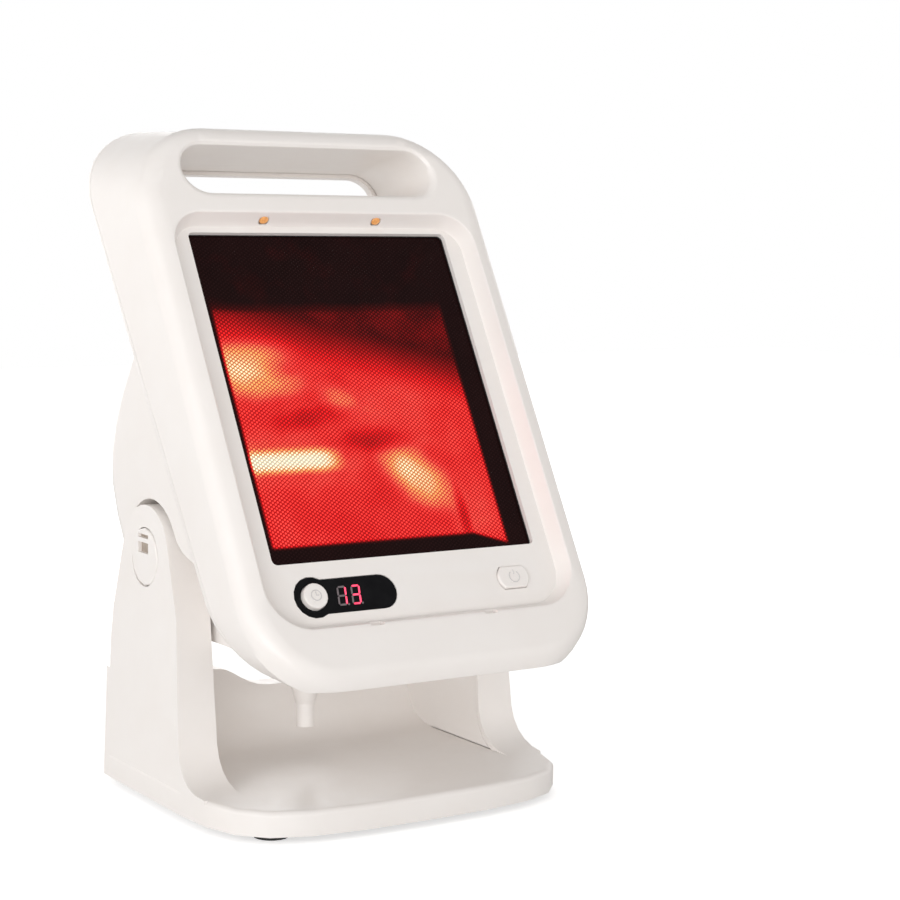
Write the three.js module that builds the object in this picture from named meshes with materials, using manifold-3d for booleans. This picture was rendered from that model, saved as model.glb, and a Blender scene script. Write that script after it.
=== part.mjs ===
// Infrared heat therapy lamp: a tilting head with a ceramic glass window, held between a stand's two arms.
// Millimetres, +Z up. The front faces -Y, +X is to the right of someone who faces the front, and the origin
// lies on the table, in the middle of the lamp across and from front to back.
import * as THREE from 'three';
import { mergeVertices } from 'three/addons/utils/BufferGeometryUtils.js';
import Module from 'manifold-3d';

const wasm = await Module();
wasm.setup();

// Moulding and fits
const wall = 2.5;
const gap = 0.3;
const overrun = 4;
const farAway = 400;
const weld = 0.001;
const screwRadius = 1.5;
const screwHeadRadius = 3.2;
const screwHeadHeight = 2.2;
const bossRadius = 4;

// How finely round shapes are divided
const outlineSteps = 6;
const edgeSteps = 3;
const drumSteps = 20;
const smallSteps = 10;

// Half widths that the others follow
const headHalfWidth = 104;
const baseSpread = 2;
const baseHalfWidth = headHalfWidth + baseSpread;

// Where the head hangs in the stand
const pivotY = 26.4;
const pivotHeight = 130;
const pivotDepth = 91;
const pivotRise = 43;
const restTiltDegrees = 30;
const restTilt = THREE.MathUtils.degToRad(restTiltDegrees);

// Stand: the base plate
const baseAhead = 122;
const baseBehind = 43.5;
const baseSideAhead = 50;
const baseFront = pivotY - baseAhead;
const baseRear = pivotY + baseBehind;
const baseSideFront = pivotY - baseSideAhead;
const cornerPullShare = 0.89;
const bowPullShare = 0.81;
const baseRearCorner = 9;
const footHeight = 3.2;
const plateTop = 16.5;
const plateEdge = 3;

// Stand: the arms
const armBreadth = 24;
const armInner = baseHalfWidth - armBreadth;
const armDraftDegrees = 2.5;
const armTopRadius = 27.5;
const armFrontShoulder = { reach: 39.5, drop: 27 };
const armFrontFoot = { reach: 44, drop: 68 };
const armFrontHeel = { reach: 46, drop: 84 };
const armToeReach = 76;
const armRearShoulder = { reach: 37.5, drop: 32 };
const armRearFoot = { reach: 39.5, drop: 50 };
const coverThickness = 2.2;

// Stand: the rear wall between the arms
const rearWallDrop = 66;
const rearWallHeight = pivotHeight - rearWallDrop;
const rearWallThickness = 14;
const rearWallCurve = 30;
const rearWallShoulder = { across: 41, drop: 6 };
const rearWallDip = { across: 10, drop: 18 };
const dipStartShare = 0.8;
const dipEndShare = 2.5;

// Pivot: cap, bolt, washer, hub and nut, outwards in
const capRadius = 15.5;
const capThickness = 3.4;
const capProud = 0.5;
const capEdge = 1;
const capWindow = { front: -5, rear: 7, low: 2, high: 12 };
const capBarHeight = 2.4;
const capBarDrop = 2;
const capWindowDepth = 2;
const boltRadius = 5;
const boltClearance = 0.3;
const boltHeadRadius = 8.5;
const boltHeadHeight = 5;
const armWebThickness = 9;
const pivotBossRadius = 13;
const washerRadius = 13;
const hubRadius = 16;
const hubThickness = 6.2;
const nutRadius = 9;
const nutThickness = 7;
const nutSides = 6;

// Base: feet, cover and screws
const footRadius = 9.5;
const footInset = 29;
const footAcross = baseHalfWidth - footInset;
const footAhead = 96.5;
const footBehind = 23.5;
const footFront = pivotY - footAhead;
const footRear = pivotY + footBehind;
const footStudRadius = 4;
const footStudHeight = 2;
const baseScrewSideInset = 48;
const baseScrewAcross = baseHalfWidth - baseScrewSideInset;
const baseScrewInset = 14;

// Head: outside, all measured from the lower edge of the window on the panel's face
const headBottom = -70;
const headTop = 247;
const headLeanDegrees = 31.5;
const headCorner = 48;
const rimHeight = 9;
const rimRound = 12;
const partingLow = 23.4;
const partingHigh = 50.5;
const rearPlateDepth = 5;
const rearPlateEdge = 3;
const undersideDrop = 50;
const undersideHeight = pivotHeight - undersideDrop;

// Head: the sunk panel and the window in it
const panelThickness = 2.7;
const rimBreadth = 16.5;
const panelHalfWidth = headHalfWidth - rimBreadth;
const panelBottom = -33.5;
const panelTop = 188.5;
const panelCornerLow = 20;
const panelCornerHigh = 15;
const panelFlare = 4;
const panelLip = 2.5;
const lipOvershoot = 0.05;
const windowMargin = 9;
const windowHalfWidth = panelHalfWidth - windowMargin;
const windowHeight = 185;
const windowCorner = 3;
const ventHoleAcross = 34.3;
const ventHoleRise = 190.3;
const ventHoleHalfLength = 3;
const ventHoleHalfHeight = 1.1;
const notchAcross = 34;
const notchHalfWidth = 4;
const notchDepth = 1.2;

// Head: the handle slot, given where it passes the panel's face; it climbs as it runs back
const slotBottom = 207;
const slotTop = 235;
const slotSideInset = 28;
const slotHalfLength = headHalfWidth - slotSideInset;
const slotClimbDegrees = 18;
const slotLip = 4;
const slotStep = 2.5;

// Head: the housing behind the panel
const housingInset = 8;
const housingHalfWidth = headHalfWidth - housingInset;
const housingRound = 14;
const armClearance = 3;
const housingNarrow = armInner - armClearance;
const housingRear = 131;
const housingUnderside = 89;
const housingRearLevel = 81;
const housingFront = 5;
const humpTop = 160;
const humpStart = 46;
const humpFrontPull = { depth: 88, rise: 146 };
const humpRearPull = 125;
const housingCorner = 26;
const pocketRadius = 30.5;
const pocketRear = 23;
const pocketFall = { reach: 62, drop: 34, steep: 18 };
const louvreCount = 9;
const louvrePitch = 13;
const louvreHalfWidth = 1.6;
const upperLouvres = { low: 98, high: 128 };
const lowerLouvres = { low: 34, high: 62 };
const louvreRows = [upperLouvres, lowerLouvres];
const headScrewInset = 16;
const headScrews = { across: headHalfWidth - headScrewInset, low: -36, high: 213 };

// Behind the window
const sealThickness = 0.8;
const glassThickness = 4;
const glassLap = 4.5;
const glassCorner = 5;
const sheet = 1;
const flangeInset = 13;
const flangeHalfWidth = headHalfWidth - flangeInset;
const flangeBottom = -7;
const flangeTop = 195;
const reflectorInset = 3;
const reflectorHalfLength = windowHalfWidth - reflectorInset;
const reflectorMouthLow = -2;
const reflectorMouthHigh = 187;
const reflectorDepth = 49;
const reflectorBackLow = 35;
const reflectorBackHigh = 151;
const flangeScrewInset = 4;
const flangeScrews = { across: flangeHalfWidth - flangeScrewInset, low: 20, high: 165 };
const tubeRise = 70;
const tubeDepth = 33;
const tubeRadius = 5;
const tubeInset = 29.5;
const tubeHalfLength = reflectorHalfLength - tubeInset;
const tubeNeckLength = 3;
const tubeCeramicLength = 7;
const tubePinLength = 2.5;
const tubeNeck = { radius: 3.2, end: tubeHalfLength + tubeNeckLength };
const tubeCeramic = { radius: 4.4, end: tubeNeck.end + tubeCeramicLength };
const tubePin = { radius: 1.6, end: tubeCeramic.end + tubePinLength };
const socketStandoff = 7;
const socketInner = tubeHalfLength + socketStandoff;
const socketHalfHeight = 8;
const shieldStandoff = 7;
const shieldEndInset = 5.5;
const shieldHalfLength = reflectorHalfLength - shieldEndInset;
const shieldInset = 2;
const cutoutAcross = 30;
const cutoutRise = 100;
const cutoutRadius = 8;
const cutoutThickness = 6;

// Controls
const boardDepth = 14;
const boardThickness = 1.6;
const boardInset = 22;
const boardHalfWidth = headHalfWidth - boardInset;
const boardLow = -34;
const boardHigh = -9;
const postRadius = 2.8;
const postInset = 4;
const postAcross = boardHalfWidth - postInset;
const lensRecess = 0.3;
const lensLip = 1.5;
const lensLipThickness = 1.2;
const lensInset = 26.9;
const lensCircle = { across: lensInset - panelHalfWidth, rise: -18.3, radius: 10.7 };
const lensBarReach = 39;
const lensBar = { end: lensCircle.across + lensBarReach, low: -27.3, high: -9.4 };
const timerButtonRadius = 6.75;
const timerButtonProud = 3;
const buttonFit = 0.35;
const buttonFlange = 1.4;
const buttonFlangeThickness = 1.5;
const buttonEdge = 0.9;
const chamferShare = 0.3;
const buttonTravel = 1;
const stemRadius = 2;
const stemFit = 0.4;
const powerInset = 28.5;
const powerButton = {
  across: panelHalfWidth - powerInset, rise: -17.8, halfWidth: 9.5, halfHeight: 6, proud: 1.8, straight: 6.5,
};
const switchHalfWidth = 5;
const switchFront = 8.2;
const displayReach = 20.9;
const display = {
  across: lensCircle.across + displayReach, rise: -19.1, halfWidth: 8, halfHeight: 7, front: 5,
};
const relay = { across: 30, rise: -22, halfWidth: 10, halfHeight: 7.5, depth: 15 };

// Cord gland under the housing, upright while the head is at rest
const glandTipDrop = 94;
const glandShoulderDrop = 81;
const gland = {
  across: -20,
  ahead: 30,
  tip: pivotHeight - glandTipDrop,
  shoulder: pivotHeight - glandShoulderDrop,
  tipRadius: 5,
  coneRadius: 17.8,
  bore: 3.2,
};
const glandNeckRadius = 8.6;
const glandFlangeRadius = 12;
const glandFlangeThickness = 2.2;

// Looks
const whitePlastic = { color: 0xf6f3ee, roughness: 0.42, metalness: 0 };
const blackRubber = { color: 0x1c1c1e, roughness: 0.9, metalness: 0 };
const darkGlass = { color: 0x2a0c0a, roughness: 0.18, metalness: 0 };
const smokedLens = { color: 0x0d0808, roughness: 0.1, metalness: 0 };
const brightSteel = { color: 0xb9bcc0, roughness: 0.35, metalness: 1 };
const aluminium = { color: 0xd9dadb, roughness: 0.2, metalness: 1 };
const quartz = { color: 0xf2d6c4, roughness: 0.1, metalness: 0 };
const ceramic = { color: 0xefe9dc, roughness: 0.7, metalness: 0 };
const fibre = { color: 0xd8d2c6, roughness: 0.95, metalness: 0 };
const greenBoard = { color: 0x1f5a36, roughness: 0.5, metalness: 0 };
const blackPlastic = { color: 0x1a1a1a, roughness: 0.5, metalness: 0 };

// Solids and placing
const axisX = new THREE.Vector3(1, 0, 0);
const axisY = new THREE.Vector3(0, 1, 0);
const axisZ = new THREE.Vector3(0, 0, 1);
const sideways = new THREE.Matrix4().makeBasis(axisY, axisZ, axisX);
const backToFront = new THREE.Matrix4().makeBasis(axisX, axisZ, axisY.clone().negate());

function solid(geometry) {
  const bare = geometry.index ? geometry.toNonIndexed() : geometry.clone();
  bare.deleteAttribute('normal');
  bare.deleteAttribute('uv');
  const merged = mergeVertices(bare, weld);
  return new wasm.Manifold(new wasm.Mesh({
    numProp: 3,
    vertProperties: merged.attributes.position.array,
    triVerts: merged.index.array,
  }));
}

function join(bodies) {
  return bodies.reduce((whole, body) => whole.add(body));
}

function cut(body, tools) {
  return tools.reduce((rest, tool) => rest.subtract(tool), body);
}

function piece(name, body, look) {
  const { vertProperties, triVerts } = body.getMesh();
  const geometry = new THREE.BufferGeometry();
  geometry.setAttribute('position', new THREE.BufferAttribute(vertProperties, 3));
  geometry.setIndex(new THREE.BufferAttribute(triVerts, 1));
  geometry.computeVertexNormals();
  const mesh = new THREE.Mesh(geometry, new THREE.MeshStandardMaterial(look));
  mesh.name = name;
  return mesh;
}

// An outline pushed out from 0 to its length along its own Z, with both rims rounded by edge
function slab(shape, length, edge = 0) {
  const geometry = new THREE.ExtrudeGeometry(shape, {
    depth: length - 2 * edge,
    bevelEnabled: edge > 0,
    bevelThickness: edge,
    bevelSize: edge,
    bevelOffset: -edge,
    bevelSegments: edgeSteps,
    curveSegments: outlineSteps,
  });
  return geometry.translate(0, 0, edge);
}

// Outlines drawn in (y, z), pushed along X
function slabX(shape, from, to, edge = 0) {
  return solid(slab(shape, to - from, edge).applyMatrix4(sideways).translate(from, 0, 0));
}

// Outlines drawn in (x, z), pushed along Y
function slabY(shape, from, to, edge = 0) {
  return solid(slab(shape, to - from, edge).applyMatrix4(backToFront).translate(0, to, 0));
}

// Outlines drawn in (x, y), pushed along Z
function slabZ(shape, from, to, edge = 0) {
  return solid(slab(shape, to - from, edge).translate(0, 0, from));
}

function block(low, high) {
  const size = high.map((value, axis) => value - low[axis]);
  const middle = high.map((value, axis) => (value + low[axis]) / 2);
  return solid(new THREE.BoxGeometry(...size).translate(...middle));
}

// Round bars between two places on an axis; x, y and z give the middle line
function drum(radius, from, to, steps) {
  return new THREE.CylinderGeometry(radius, radius, Math.abs(to - from), steps);
}

function drumX(radius, from, to, y, z, steps = drumSteps) {
  return solid(drum(radius, from, to, steps).rotateZ(Math.PI / 2).translate((from + to) / 2, y, z));
}

function drumY(radius, from, to, x, z, steps = smallSteps) {
  return solid(drum(radius, from, to, steps).translate(x, (from + to) / 2, z));
}

function drumZ(radius, from, to, x, y, steps = smallSteps) {
  return solid(drum(radius, from, to, steps).rotateX(Math.PI / 2).translate(x, y, (from + to) / 2));
}

function roundedBox(left, low, right, high, lowCorner, highCorner = lowCorner) {
  const quarter = Math.PI / 2;
  const shape = new THREE.Shape();
  shape.absarc(right - lowCorner, low + lowCorner, lowCorner, -quarter, 0, false);
  shape.absarc(right - highCorner, high - highCorner, highCorner, 0, quarter, false);
  shape.absarc(left + highCorner, high - highCorner, highCorner, quarter, Math.PI, false);
  shape.absarc(left + lowCorner, low + lowCorner, lowCorner, Math.PI, Math.PI + quarter, false);
  return shape;
}

// The place on the middle line of both sides, for loops over left and right
const sides = [['left', -1], ['right', 1]];

// Frames: the head's own frame has its origin on the panel's face at the lower edge of the window
const lamp = new THREE.Group();
const tilting = new THREE.Group();
tilting.position.set(0, pivotY, pivotHeight);
tilting.rotation.x = -restTilt;
const head = new THREE.Group();
head.position.set(0, -pivotDepth, -pivotRise);
tilting.add(head);
lamp.add(tilting);
lamp.updateMatrixWorld(true);
const standToHead = head.matrixWorld.clone().invert();

// The flat underside of the head is level at rest
function aboveUnderside(offset) {
  const low = undersideHeight + offset;
  const geometry = new THREE.BoxGeometry(farAway * 2, farAway * 2, farAway);
  return solid(geometry.translate(0, 0, low + farAway / 2).applyMatrix4(standToHead));
}

// How far up the panel a plane that is level at rest lies at a given depth of the head
function levelAt(y, height) {
  return pivotRise + ((y - pivotDepth) * Math.sin(restTilt) - (pivotHeight - height)) / Math.cos(restTilt);
}

// STAND

function baseOutline(inset) {
  const side = baseHalfWidth - inset;
  const front = baseFront + inset;
  const rear = baseRear - inset;
  const corner = baseRearCorner - inset;
  const cornerPull = baseSideFront + (front - baseSideFront) * cornerPullShare;
  const shape = new THREE.Shape();
  shape.moveTo(0, front);
  shape.bezierCurveTo(side * bowPullShare, front, side, cornerPull, side, baseSideFront);
  shape.absarc(side - corner, rear - corner, corner, 0, Math.PI / 2, false);
  shape.absarc(corner - side, rear - corner, corner, Math.PI / 2, Math.PI, false);
  shape.lineTo(-side, baseSideFront);
  shape.bezierCurveTo(-side, cornerPull, -side * bowPullShare, front, 0, front);
  return shape;
}

// The angle at which a line from a point outside a circle round the pivot touches that circle
function touchAngle(reach, drop, radius, turn) {
  return Math.atan2(-drop, reach) + turn * Math.acos(radius / Math.hypot(reach, drop));
}

function armOutline(inset) {
  const radius = armTopRadius - inset;
  const rear = armRearShoulder.reach - inset;
  const front = armFrontShoulder.reach - inset;
  const rearTouch = touchAngle(rear, armRearShoulder.drop, radius, 1);
  const frontTouch = touchAngle(-front, armFrontShoulder.drop, radius, -1) + 2 * Math.PI;
  const floor = plateTop - inset;
  const heel = pivotY - armFrontHeel.reach + inset;
  const shape = new THREE.Shape();
  shape.moveTo(pivotY - armToeReach + inset, footHeight);
  shape.lineTo(pivotY + armRearFoot.reach - inset, footHeight);
  shape.lineTo(pivotY + armRearFoot.reach - inset, pivotHeight - armRearFoot.drop);
  shape.lineTo(pivotY + rear, pivotHeight - armRearShoulder.drop);
  shape.absarc(pivotY, pivotHeight, radius, rearTouch, frontTouch, false);
  shape.lineTo(pivotY - front, pivotHeight - armFrontShoulder.drop);
  shape.lineTo(pivotY - armFrontFoot.reach + inset, pivotHeight - armFrontFoot.drop);
  shape.lineTo(heel, pivotHeight - armFrontHeel.drop);
  shape.quadraticCurveTo(heel, floor, pivotY - armToeReach + inset, floor);
  return shape;
}

// The half width of the arms' outer faces, which lean in towards the top
const draftSlope = Math.tan(THREE.MathUtils.degToRad(armDraftDegrees));

function armOuterAt(height) {
  return baseHalfWidth - draftSlope * height;
}

function draftedBlock(inset) {
  const top = pivotHeight + armTopRadius + overrun;
  const shape = new THREE.Shape();
  shape.moveTo(-armOuterAt(0) + inset, 0);
  shape.lineTo(armOuterAt(0) - inset, 0);
  shape.lineTo(armOuterAt(top) - inset, top);
  shape.lineTo(-armOuterAt(top) + inset, top);
  return slabY(shape, -farAway, farAway);
}

function rearWallFront(inset) {
  const shape = new THREE.Shape();
  const { across } = rearWallShoulder;
  const dip = rearWallDip.across;
  const high = rearWallHeight - rearWallShoulder.drop - inset;
  const low = rearWallHeight - rearWallDip.drop - inset;
  const side = baseHalfWidth;
  shape.moveTo(-side, footHeight);
  shape.lineTo(side, footHeight);
  shape.lineTo(side, rearWallHeight - inset);
  shape.lineTo(across, high);
  shape.bezierCurveTo(across * dipStartShare, high, dip * dipEndShare, low, dip, low);
  shape.lineTo(-dip, low);
  shape.bezierCurveTo(-dip * dipEndShare, low, -across * dipStartShare, high, -across, high);
  shape.lineTo(-side, rearWallHeight - inset);
  return slabY(shape, baseRear - rearWallThickness - rearWallCurve, baseRear);
}

function rearWallSide(inset) {
  const face = baseRear - rearWallThickness + inset;
  const floor = plateTop - inset;
  const shape = new THREE.Shape();
  shape.moveTo(face - rearWallCurve, footHeight);
  shape.lineTo(baseRear - inset, footHeight);
  shape.lineTo(baseRear - inset, rearWallHeight);
  shape.lineTo(face, rearWallHeight);
  shape.lineTo(face, floor + rearWallCurve);
  shape.quadraticCurveTo(face, floor, face - rearWallCurve, floor);
  return slabX(shape, -baseHalfWidth, baseHalfWidth);
}

function rearWall(inset) {
  return rearWallFront(inset).intersect(rearWallSide(inset)).intersect(draftedBlock(inset));
}

const armFace = armOuterAt(pivotHeight);
const capBack = armFace + capProud - capThickness;
const boltSeat = armInner + armWebThickness;
const footPlaces = [
  ['front_left', -footAcross, footFront], ['front_right', footAcross, footFront],
  ['rear_left', -footAcross, footRear], ['rear_right', footAcross, footRear],
];
const baseScrewPlaces = [
  ['front_left', -baseScrewAcross, footFront + baseScrewInset],
  ['front_right', baseScrewAcross, footFront + baseScrewInset],
  ['rear_left', -baseScrewAcross, footRear - baseScrewInset],
  ['rear_right', baseScrewAcross, footRear - baseScrewInset],
];

function standShell() {
  const bottom = block([-farAway, -farAway, -farAway], [farAway, farAway, footHeight]);
  const channel = block([-armInner, -farAway, plateTop], [armInner, farAway, farAway]);
  const plate = slabZ(baseOutline(0), footHeight - plateEdge * 2, plateTop, plateEdge);
  const arms = slabX(armOutline(0), -baseHalfWidth, baseHalfWidth).intersect(draftedBlock(0))
    .intersect(slabZ(baseOutline(0), 0, farAway));
  const outside = join([plate, arms.subtract(channel), rearWall(0)]);

  const bosses = sides.flatMap(([, side]) => [
    drumX(pivotBossRadius, side * (armInner - overrun), side * armFace, pivotY, pivotHeight),
    drumX(capRadius + wall, side * (capBack - wall), side * (armFace + overrun), pivotY, pivotHeight),
  ]);
  const armHollow = slabX(armOutline(wall), -baseHalfWidth, baseHalfWidth).intersect(draftedBlock(wall))
    .intersect(slabZ(baseOutline(wall), 0, farAway))
    .subtract(block([-armInner, -farAway, plateTop - wall], [armInner, farAway, farAway]));
  const screwBosses = baseScrewPlaces.map(([, x, y]) => drumZ(bossRadius, 0, plateTop, x, y));
  const hollow = cut(join([slabZ(baseOutline(wall), 0, plateTop - wall), armHollow, rearWall(wall)]),
    [...bosses, ...screwBosses]);

  const bores = sides.flatMap(([, side]) => [
    drumX(boltRadius + boltClearance, side * (armInner - overrun), side * armFace, pivotY, pivotHeight),
    drumX(boltHeadRadius + gap, side * boltSeat, side * armFace, pivotY, pivotHeight),
    drumX(capRadius + gap, side * (capBack - gap), side * (armFace + overrun), pivotY, pivotHeight),
  ]);
  const pilots = baseScrewPlaces.map(([, x, y]) => drumZ(screwRadius + gap, 0, plateTop - wall, x, y));
  const lid = slabZ(baseOutline(wall), footHeight - overrun, footHeight + wall + gap);
  return cut(outside, [bottom, hollow, lid, ...bores, ...pilots]);
}

function armCover(side) {
  const inner = side * armInner;
  const outer = side * (armInner + coverThickness);
  const low = plateTop + gap;
  const outline = slabX(armOutline(wall + gap), Math.min(inner, outer), Math.max(inner, outer));
  const below = block([-farAway, -farAway, -farAway], [farAway, farAway, low]);
  const holeFrom = inner - side * overrun;
  const holeTo = outer + side * overrun;
  const hole = drumX(pivotBossRadius + gap, holeFrom, holeTo, pivotY, pivotHeight);
  return cut(outline, [below, hole]);
}

function baseCover() {
  const plate = slabZ(baseOutline(wall + gap), footHeight, footHeight + wall);
  const studs = footPlaces.map(([, x, y]) => drumZ(footStudRadius + gap, 0, farAway, x, y));
  const holes = baseScrewPlaces.map(([, x, y]) => drumZ(screwRadius + gap, 0, farAway, x, y));
  const sinks = baseScrewPlaces.map(([, x, y]) => (
    drumZ(screwHeadRadius + gap, 0, footHeight + wall / 2, x, y)));
  return cut(plate, [...studs, ...holes, ...sinks]);
}

function foot(x, y) {
  const pad = drumZ(footRadius, 0, footHeight - gap, x, y, drumSteps);
  return pad.add(drumZ(footStudRadius, footHeight / 2, footHeight + footStudHeight, x, y));
}

function baseScrew(x, y) {
  const seat = footHeight + wall / 2 - gap;
  const screwHead = drumZ(screwHeadRadius, seat - screwHeadHeight / 2, seat, x, y);
  return screwHead.add(drumZ(screwRadius, seat - gap, plateTop - wall - gap, x, y));
}

function pivotCap(side) {
  const shape = new THREE.Shape().absarc(pivotY, pivotHeight, capRadius, 0, Math.PI * 2, false);
  const reach = capBack + capThickness;
  const [discLow, discHigh] = side > 0 ? [capBack, reach] : [-reach, -capBack];
  const disc = slabX(shape, discLow, discHigh, capEdge);
  const { front, rear, low, high } = capWindow;
  const barHigh = high - capBarDrop;
  const floor = side * (reach - capWindowDepth);
  const open = side * (reach + overrun);
  const slits = [[low, barHigh - capBarHeight], [barHigh, high]].map(([from, to]) => block(
    [Math.min(floor, open), pivotY + front, pivotHeight + from],
    [Math.max(floor, open), pivotY + rear, pivotHeight + to],
  ));
  return cut(disc, slits);
}

const washerOuter = armInner - gap;
const washerInner = housingNarrow + gap;
const hubOuter = housingNarrow - wall - gap;
const nutOuter = hubOuter - hubThickness - gap;

function pivotBolt(side) {
  const seat = side * (boltSeat + gap);
  const boltHead = drumX(boltHeadRadius, seat, side * (boltSeat + gap + boltHeadHeight), pivotY, pivotHeight);
  const end = side * (nutOuter - nutThickness - gap);
  return boltHead.add(drumX(boltRadius, end, seat + side * gap, pivotY, pivotHeight));
}

function ring(radius, from, to, y, z, steps) {
  const bore = drumX(boltRadius + boltClearance, from - (to - from), to + (to - from), y, z);
  return drumX(radius, from, to, y, z, steps).subtract(bore);
}

function addStand() {
  lamp.add(piece('stand_shell', standShell(), whitePlastic));
  lamp.add(piece('base_cover', baseCover(), whitePlastic));
  footPlaces.forEach(([place, x, y]) => lamp.add(piece(`foot_${place}`, foot(x, y), blackRubber)));
  baseScrewPlaces.forEach(([place, x, y]) => (
    lamp.add(piece(`base_screw_${place}`, baseScrew(x, y), brightSteel))));
  sides.forEach(([name, side]) => {
    const nutInner = nutOuter - nutThickness;
    const nutBody = ring(nutRadius, side * nutInner, side * nutOuter, pivotY, pivotHeight, nutSides);
    const washer = ring(washerRadius, side * washerInner, side * washerOuter, pivotY, pivotHeight);
    lamp.add(piece(`arm_cover_${name}`, armCover(side), whitePlastic));
    lamp.add(piece(`pivot_cap_${name}`, pivotCap(side), whitePlastic));
    lamp.add(piece(`pivot_bolt_${name}`, pivotBolt(side), brightSteel));
    lamp.add(piece(`friction_washer_${name}`, washer, fibre));
    lamp.add(piece(`pivot_nut_${name}`, nutBody, brightSteel));
  });
}

// HEAD

function headOutline(inset) {
  return roundedBox(-headHalfWidth + inset, headBottom + inset, headHalfWidth - inset, headTop - inset,
    headCorner - inset);
}

function panelOutline(outset) {
  const halfWidth = panelHalfWidth + outset;
  return roundedBox(-halfWidth, panelBottom - outset, halfWidth, panelTop + outset,
    panelCornerLow + outset, panelCornerHigh + outset);
}

function slotOutline(outset) {
  const radius = (slotTop - slotBottom) / 2 + outset;
  const middle = (slotTop + slotBottom) / 2;
  const half = slotHalfLength + outset;
  return roundedBox(-half, middle - radius, half, middle + radius, radius);
}

const slotShear = new THREE.Matrix4()
  .makeShear(0, 0, 0, Math.tan(THREE.MathUtils.degToRad(slotClimbDegrees)), 0, 0);

function slotSlab(outset, from, to) {
  const geometry = slab(slotOutline(outset), to - from).applyMatrix4(backToFront).translate(0, to, 0);
  return solid(geometry.applyMatrix4(slotShear));
}

// What a rounded lip takes away where an opening meets the crest of the rim
function crestLip(shape, radius, shear = new THREE.Matrix4()) {
  const geometry = new THREE.ExtrudeGeometry(shape, {
    depth: overrun,
    bevelThickness: radius,
    bevelSize: -radius,
    bevelOffset: radius,
    bevelSegments: edgeSteps,
    curveSegments: outlineSteps,
  });
  const foot = radius - rimHeight - lipOvershoot;
  geometry.applyMatrix4(backToFront).translate(0, foot + overrun, 0).applyMatrix4(shear);
  return solid(geometry).intersect(block([-farAway, -farAway, -farAway], [farAway, foot, farAway]));
}

// Behind its rounded rim the head's outside climbs as it runs back, so that it lies nearly level at rest
const leanSlope = Math.tan(THREE.MathUtils.degToRad(headLeanDegrees));
const leanStart = rimRound - rimHeight;
const leanShear = new THREE.Matrix4().makeShear(0, 0, 0, leanSlope, 0, 0)
  .setPosition(0, 0, -leanSlope * leanStart);

function leaningSlab(shape, from, to, edge) {
  const geometry = slab(shape, to - from, edge).applyMatrix4(backToFront).translate(0, to, 0);
  const points = geometry.attributes.position;
  for (let index = 0; index < points.count; index += 1) {
    const climb = Math.max(points.getY(index) - leanStart, 0) * leanSlope;
    points.setZ(index, points.getZ(index) + climb);
  }
  return solid(geometry);
}

// The two shells meet on a plane that lies deeper at the top of the head than at its bottom
const partingSlope = (partingHigh - partingLow) / (headTop - headBottom);
const partingShear = new THREE.Matrix4().makeShear(0, 0, 0, 0, 0, partingSlope)
  .setPosition(0, partingLow - partingSlope * headBottom, 0);

function partingSlab(shape, from, to, edge = 0) {
  const geometry = slab(shape, to - from, edge).applyMatrix4(backToFront).translate(0, to, 0);
  return solid(geometry.applyMatrix4(partingShear).applyMatrix4(leanShear));
}

// The depth at which a plane that lies a given way behind the parting plane passes a place up the panel
function partingAt(z, behind = 0) {
  const climbed = z + leanSlope * leanStart - headBottom;
  return (partingLow + behind + partingSlope * climbed) / (1 + partingSlope * leanSlope);
}

function wideSquare() {
  return roundedBox(-farAway, -farAway, farAway, farAway, overrun);
}

const headScrewPlaces = [
  ['top_left', -headScrews.across, headScrews.high], ['top_right', headScrews.across, headScrews.high],
  ['bottom_left', -headScrews.across, headScrews.low], ['bottom_right', headScrews.across, headScrews.low],
];
const flangeScrewPlaces = [
  ['top_left', -flangeScrews.across, flangeScrews.high], ['top_right', flangeScrews.across, flangeScrews.high],
  ['bottom_left', -flangeScrews.across, flangeScrews.low],
  ['bottom_right', flangeScrews.across, flangeScrews.low],
];
const glassFront = panelThickness + gap + sealThickness + gap;
const glassBack = glassFront + glassThickness;
const flangeFront = glassBack + gap;
const boardPosts = [boardLow + postInset, boardHigh - postInset].flatMap((z) => (
  sides.map(([, side]) => [side * postAcross, z])));

// The sunk field of the panel, whose walls slope out to the crest of the rim
function panelSink() {
  const geometry = new THREE.ExtrudeGeometry(panelOutline(0), {
    depth: overrun,
    bevelThickness: rimHeight,
    bevelSize: panelFlare,
    bevelSegments: 1,
    curveSegments: outlineSteps,
  });
  const flareAtLip = panelFlare * (1 - panelLip / rimHeight);
  return solid(geometry.translate(0, 0, rimHeight).applyMatrix4(backToFront))
    .add(crestLip(panelOutline(flareAtLip), panelLip));
}

function lensOutline(outset) {
  const { across, rise, radius } = lensCircle;
  const barRadius = (lensBar.high - lensBar.low) / 2;
  const middle = (lensBar.high + lensBar.low) / 2;
  const round = radius + outset;
  const half = barRadius + outset;
  const high = Math.asin((middle + half - rise) / round);
  const low = Math.asin((middle - half - rise) / round);
  const shape = new THREE.Shape();
  shape.absarc(lensBar.end, middle, half, -Math.PI / 2, Math.PI / 2, false);
  shape.absarc(across, rise, round, high, 2 * Math.PI + low, false);
  return shape;
}

function powerOutline(outset) {
  const { across, rise, halfWidth, halfHeight, straight } = powerButton;
  const half = halfHeight + outset;
  const side = straight + outset;
  const bow = halfWidth + outset;
  const shape = new THREE.Shape();
  shape.moveTo(across - side, rise - half);
  shape.lineTo(across + side, rise - half);
  shape.quadraticCurveTo(across + 2 * bow - side, rise, across + side, rise + half);
  shape.lineTo(across - side, rise + half);
  shape.quadraticCurveTo(across - 2 * bow + side, rise, across - side, rise - half);
  return shape;
}

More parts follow.
